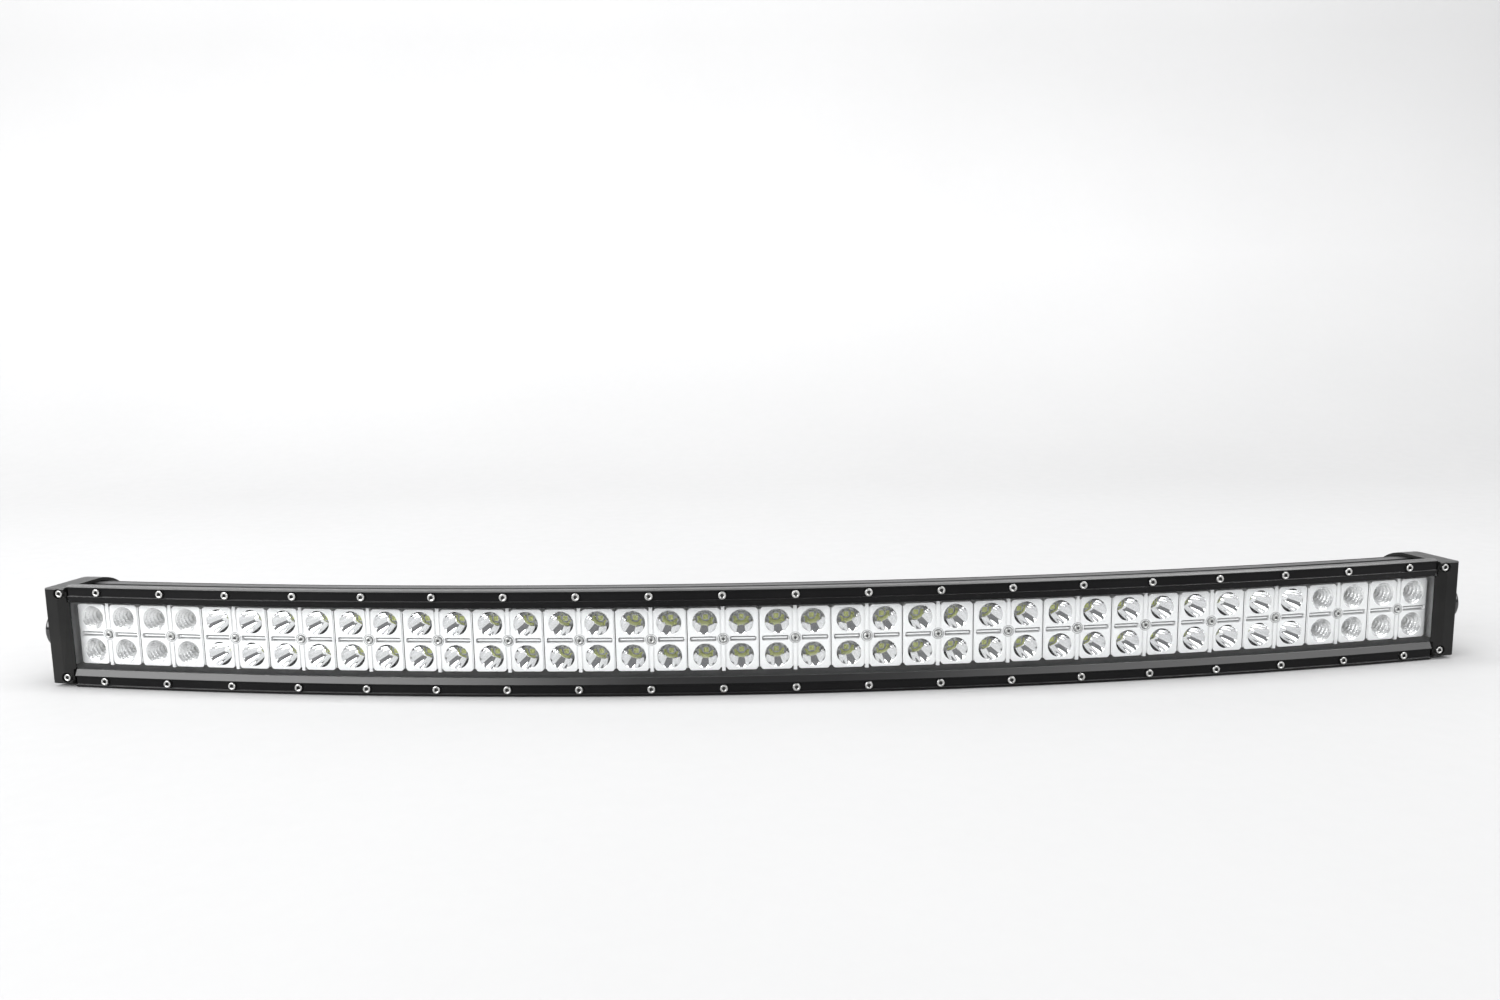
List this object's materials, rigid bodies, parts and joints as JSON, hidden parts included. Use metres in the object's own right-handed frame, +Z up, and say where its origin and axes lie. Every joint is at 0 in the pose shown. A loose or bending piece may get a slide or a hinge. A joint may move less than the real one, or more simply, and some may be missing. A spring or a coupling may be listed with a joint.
{
  "type": "led light bar",
  "caption": "Curved LED light bar: two rows of reflector lamps behind a clear lens in a finned housing, with end caps and side mounting hubs.",
  "frame": {"origin": "middle of the whole bar at the height of its lower rail's underside", "axes": "+X along the bar to its right end, -Y the way the lamps shine, +Z up"},
  "size_m": [1.0656, 0.1259, 0.077],
  "materials": {
    "housing_black": "black powder coat on extruded aluminium, satin",
    "cast_cap_black": "black fine-textured powder coat on cast aluminium",
    "grey_silicone": "matte grey silicone",
    "clear_lens": "clear polished polycarbonate",
    "black_gasket": "matte black rubber",
    "rail_black": "black powder coat, satin",
    "stainless": "bright stainless, lightly turned",
    "led_phosphor": "yellow phosphor on white ceramic",
    "circuit_board": "green solder resist",
    "driver_parts": "dark moulded parts",
    "brass": "turned brass",
    "lead_insulation": "red lead insulation",
    "nylon_black": "moulded black nylon",
    "hub_gloss_black": "gloss black enamel",
    "bolt_black": "black oxide steel",
    "reflector_bright": "vacuum metallised reflector, mirror bright",
    "led_board_white": "white solder resist on an aluminium core"
  },
  "bodies": {
    "bar": {"housing": "housing_black", "left_end_cap": "cast_cap_black", "right_end_cap": "cast_cap_black", "left_end_gasket": "grey_silicone", "right_end_gasket": "grey_silicone", "lens": "clear_lens", "lens_gasket": "black_gasket", "top_rail": "rail_black", "bottom_rail": "rail_black", "top_rail_screws": "stainless", "bottom_rail_screws": "stainless", "left_cap_screws": "stainless", "right_cap_screws": "stainless", "reflector_screws": "stainless", "leds": "led_phosphor", "reflector_01": "reflector_bright", "reflector_02": "reflector_bright", "reflector_03": "reflector_bright", "reflector_04": "reflector_bright", "reflector_05": "reflector_bright", "reflector_06": "reflector_bright", "reflector_07": "reflector_bright", "reflector_08": "reflector_bright", "reflector_09": "reflector_bright", "reflector_10": "reflector_bright", "reflector_11": "reflector_bright", "reflector_12": "reflector_bright", "reflector_13": "reflector_bright", "reflector_14": "reflector_bright", "reflector_15": "reflector_bright", "reflector_16": "reflector_bright", "reflector_17": "reflector_bright", "reflector_18": "reflector_bright", "reflector_19": "reflector_bright", "reflector_20": "reflector_bright", "led_board_01": "led_board_white", "led_board_02": "led_board_white", "led_board_03": "led_board_white", "led_board_04": "led_board_white", "left_driver_board": "circuit_board", "right_driver_board": "circuit_board", "left_driver_parts": "driver_parts", "right_driver_parts": "driver_parts", "driver_spacers": "brass", "driver_screws": "stainless", "jumper_leads": "lead_insulation", "cable_gland_body": "nylon_black", "cable_gland_nut": "nylon_black", "cable_gland_seal": "black_gasket", "breather_vent": "nylon_black", "left_hub_washer": "black_gasket", "right_hub_washer": "black_gasket"},
    "left_hub": {"left_hub": "hub_gloss_black"},
    "left_bolt": {"left_bolt": "bolt_black"},
    "right_hub": {"right_hub": "hub_gloss_black"},
    "right_bolt": {"right_bolt": "bolt_black"}
  },
  "joints": [
    {"name": "left_hub_slide", "type": "slide", "parent": "bar", "child": "left_hub", "axis": [-0.9792, 0.203, 0], "range_m": [0, 0.005]},
    {"name": "left_bolt_turn", "type": "hinge", "parent": "left_hub", "child": "left_bolt", "pos_m": [-0.51843, 0.01674, 0.0385], "axis": [-0.9792, 0.203, 0], "range_deg": [0, 1440]},
    {"name": "right_hub_slide", "type": "slide", "parent": "bar", "child": "right_hub", "axis": [0.9792, 0.203, 0], "range_m": [0, 0.005]},
    {"name": "right_bolt_turn", "type": "hinge", "parent": "right_hub", "child": "right_bolt", "pos_m": [0.51843, 0.01674, 0.0385], "axis": [0.9792, 0.203, 0], "range_deg": [0, 1440]}
  ],
  "couplings": [
    {"joint": "left_bolt_turn", "follows": "left_hub_slide", "rad_per_m": 5026.5},
    {"joint": "right_bolt_turn", "follows": "right_hub_slide", "rad_per_m": 5026.5}
  ]
}
